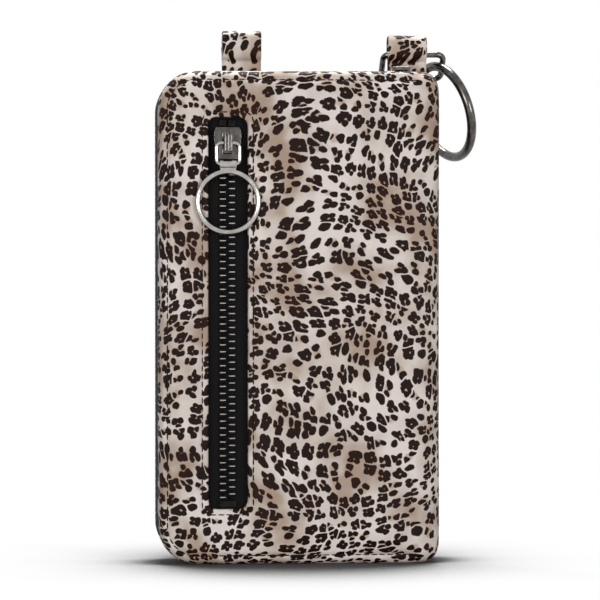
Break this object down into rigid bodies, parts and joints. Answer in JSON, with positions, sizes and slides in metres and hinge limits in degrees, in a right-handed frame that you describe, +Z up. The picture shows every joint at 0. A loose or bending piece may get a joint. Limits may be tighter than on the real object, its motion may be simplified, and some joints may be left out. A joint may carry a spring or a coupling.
{
  "type": "phone pouch",
  "caption": "Flat padded phone pouch that opens like a book on a three-sided zip, with a zipped front pocket, ring pull, strap loops and a spring gate ring.",
  "frame": {"origin": "middle of the base between the two halves' rims, on the surface that the pouch stands on", "axes": "+Z up along the pouch's height, +X to the right seen from the front, -Y out of the front panel"},
  "size_m": [0.1176, 0.0476, 0.1935],
  "materials": {
    "printed_cloth": "smooth woven cloth with a dark spotted print",
    "lining_cloth": "plain thin woven lining",
    "zip_tape": "black ribbed zip tape",
    "zip_metal": "polished dark nickel plate",
    "gunmetal": "polished gunmetal plate",
    "spring_steel": "plain spring steel"
  },
  "bodies": {
    "pouch_back": {"back_shell": "printed_cloth", "back_lining": "lining_cloth", "phone_pocket": "lining_cloth", "spine_strip": "printed_cloth", "main_tape_back": "zip_tape", "main_teeth_back": "zip_metal", "left_strap_loop": "printed_cloth", "right_strap_loop": "printed_cloth"},
    "front_cover": {"front_shell": "printed_cloth", "front_lining": "lining_cloth", "front_pocket_bag": "lining_cloth", "pocket_tape_left": "zip_tape", "pocket_tape_right": "zip_tape", "pocket_teeth_left": "zip_metal", "pocket_teeth_right": "zip_metal", "pocket_top_stops": "zip_metal", "pocket_bottom_stop": "zip_metal", "main_tape_front": "zip_tape", "main_teeth_front": "zip_metal"},
    "pocket_slider": {"pocket_slider": "gunmetal"},
    "pocket_link": {"pocket_pull_link": "gunmetal"},
    "pocket_pull": {"pocket_ring_pull": "gunmetal"},
    "main_slider": {"main_slider": "gunmetal"},
    "main_pull": {"main_pull_tab": "gunmetal"},
    "loop_ring": {"strap_loop_ring": "gunmetal"},
    "gate_ring": {"gate_ring_body": "gunmetal", "gate_pin": "spring_steel", "gate_spring": "spring_steel"},
    "gate": {"gate_arm": "gunmetal"}
  },
  "joints": [
    {"name": "cover_hinge", "type": "hinge", "parent": "pouch_back", "child": "front_cover", "pos_m": [0.051, -0.0065, 0.089], "axis": [0, 0, 1], "range_deg": [0, 110]},
    {"name": "pocket_zip_slide", "type": "slide", "parent": "front_cover", "child": "pocket_slider", "axis": [0, 0, -1], "range_m": [0, 0.115]},
    {"name": "pocket_link_swing", "type": "hinge", "parent": "pocket_slider", "child": "pocket_link", "pos_m": [-0.026, -0.01525, 0.1518], "axis": [-1, 0, 0], "range_deg": [0, 100]},
    {"name": "ring_pull_swing", "type": "hinge", "parent": "pocket_link", "child": "pocket_pull", "pos_m": [-0.026, -0.01525, 0.1442], "axis": [-1, 0, 0], "range_deg": [0, 75]},
    {"name": "main_zip_slide", "type": "slide", "parent": "pouch_back", "child": "main_slider", "axis": [-1, 0, 0], "range_m": [0, 0.07]},
    {"name": "main_pull_swing", "type": "hinge", "parent": "main_slider", "child": "main_pull", "pos_m": [0.0367, 0, 0.178], "axis": [0, 1, 0], "range_deg": [0, 110]},
    {"name": "loop_ring_swing", "type": "hinge", "parent": "pouch_back", "child": "loop_ring", "pos_m": [0.0438, 0.0074, 0.1853], "axis": [1, 0, 0], "range_deg": [0, 60]},
    {"name": "gate_ring_swing", "type": "hinge", "parent": "loop_ring", "child": "gate_ring", "pos_m": [0.0503, 0.01669, 0.17694], "axis": [1, 0, 0], "range_deg": [0, 22]},
    {"name": "gate_hinge", "type": "hinge", "parent": "gate_ring", "child": "gate", "pos_m": [0.04772, 0.02553, 0.17263], "axis": [-0.8782, -0.391, -0.2756], "range_deg": [0, 22], "stiffness_Nm_per_rad": 0.05, "springref_deg": -11.46}
  ]
}
